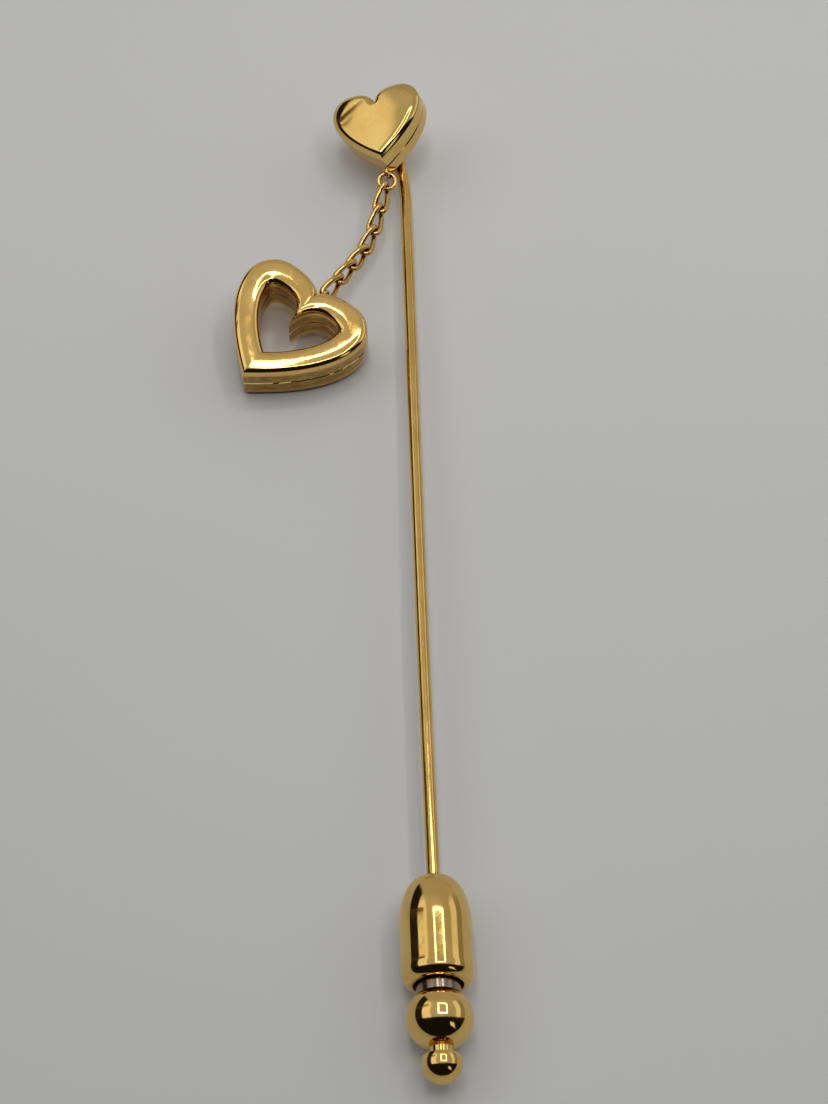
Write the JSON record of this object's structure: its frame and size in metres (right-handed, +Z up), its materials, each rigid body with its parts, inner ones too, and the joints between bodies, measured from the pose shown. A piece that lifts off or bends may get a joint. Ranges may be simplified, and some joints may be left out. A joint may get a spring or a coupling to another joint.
{
  "type": "stick pin",
  "caption": "Gold-tone stick pin with a puffed heart head, an open heart charm on a short twisted chain, and a pull-to-release barrel clutch on the stem.",
  "frame": {"origin": "on the table under the middle of the part's box, with the pin lying down", "axes": "+Y along the stem from the clutch to the hearts, +Z up from the table, +X to the right seen from above with the hearts at the top"},
  "size_m": [0.0162, 0.0864, 0.0068],
  "materials": {
    "gold_plate": "polished",
    "turned_brass": "satin",
    "clutch_steel": "satin"
  },
  "bodies": {
    "pin": {"stem": "gold_plate", "head_heart_front_shell": "gold_plate", "head_heart_back_shell": "gold_plate", "head_eye": "gold_plate"},
    "jump_ring": {"top_jump_ring": "gold_plate"},
    "link_1": {"chain_link_1": "gold_plate"},
    "link_2": {"chain_link_2": "gold_plate"},
    "link_3": {"chain_link_3": "gold_plate"},
    "link_4": {"chain_link_4": "gold_plate"},
    "link_5": {"chain_link_5": "gold_plate"},
    "link_6": {"chain_link_6": "gold_plate"},
    "charm": {"open_heart_front_shell": "gold_plate", "open_heart_back_shell": "gold_plate", "open_heart_eye": "gold_plate"},
    "clutch_guide": {"clutch_entry_bush": "turned_brass"},
    "clutch_body": {"clutch_barrel": "gold_plate", "clutch_lock_cone": "clutch_steel", "clutch_end_collar": "turned_brass", "clutch_spring": "clutch_steel"},
    "plunger": {"clutch_plunger": "clutch_steel", "clutch_locking_ball_1": "clutch_steel", "clutch_locking_ball_2": "clutch_steel", "clutch_locking_ball_3": "clutch_steel", "clutch_knob": "gold_plate", "clutch_finial": "gold_plate", "knob_rivet": "turned_brass"}
  },
  "joints": [
    {"name": "clutch_slide", "type": "slide", "parent": "pin", "child": "clutch_guide", "axis": [0, -1, 0], "range_m": [0, 0.014]},
    {"name": "clutch_spin", "type": "hinge", "parent": "clutch_guide", "child": "clutch_body", "pos_m": [0.0056, -0.028, 0.00253], "axis": [0, -1, 0], "continuous": true},
    {"name": "knob_pull", "type": "slide", "parent": "clutch_body", "child": "plunger", "axis": [0, -1, 0], "range_m": [0, 0.0012], "stiffness_N_per_m": 200, "springref_m": -0.0005, "deforming": ["clutch_spring"]},
    {"name": "ring_swing", "type": "hinge", "parent": "pin", "child": "jump_ring", "pos_m": [0.0046, 0.03551, 0.00334], "axis": [-0.3007, -0.1476, 0.9422], "range_deg": [-45, 8]},
    {"name": "link_1_tilt", "type": "hinge", "parent": "jump_ring", "child": "link_1", "pos_m": [0.00434, 0.03456, 0.0031], "axis": [0.9291, -0.3121, 0.1984], "range_deg": [-25, 25]},
    {"name": "link_2_swing", "type": "hinge", "parent": "link_1", "child": "link_2", "pos_m": [0.0038, 0.03265, 0.00262], "axis": [0.2128, 0.1718, -0.9619], "range_deg": [-10, 20]},
    {"name": "link_3_tilt", "type": "hinge", "parent": "link_2", "child": "link_3", "pos_m": [0.00323, 0.03075, 0.00215], "axis": [-0.9146, 0.3952, -0.0856], "range_deg": [-25, 20]},
    {"name": "link_4_swing", "type": "hinge", "parent": "link_3", "child": "link_4", "pos_m": [0.00244, 0.02889, 0.00194], "axis": [0.0531, 0.1163, 0.9918], "range_deg": [-18, 15]},
    {"name": "link_5_tilt", "type": "hinge", "parent": "link_4", "child": "link_5", "pos_m": [0.00139, 0.02716, 0.0022], "axis": [0.8418, -0.539, -0.0295], "range_deg": [-25, 25]},
    {"name": "link_6_swing", "type": "hinge", "parent": "link_5", "child": "link_6", "pos_m": [0.00032, 0.02546, 0.00257], "axis": [-0.15, -0.1134, -0.9822], "range_deg": [-20, 25]},
    {"name": "open_heart_swing", "type": "hinge", "parent": "link_6", "child": "charm", "pos_m": [-0.00073, 0.02375, 0.00293], "axis": [-0.0092, -0.1388, 0.9903], "range_deg": [-40, 35]}
  ]
}
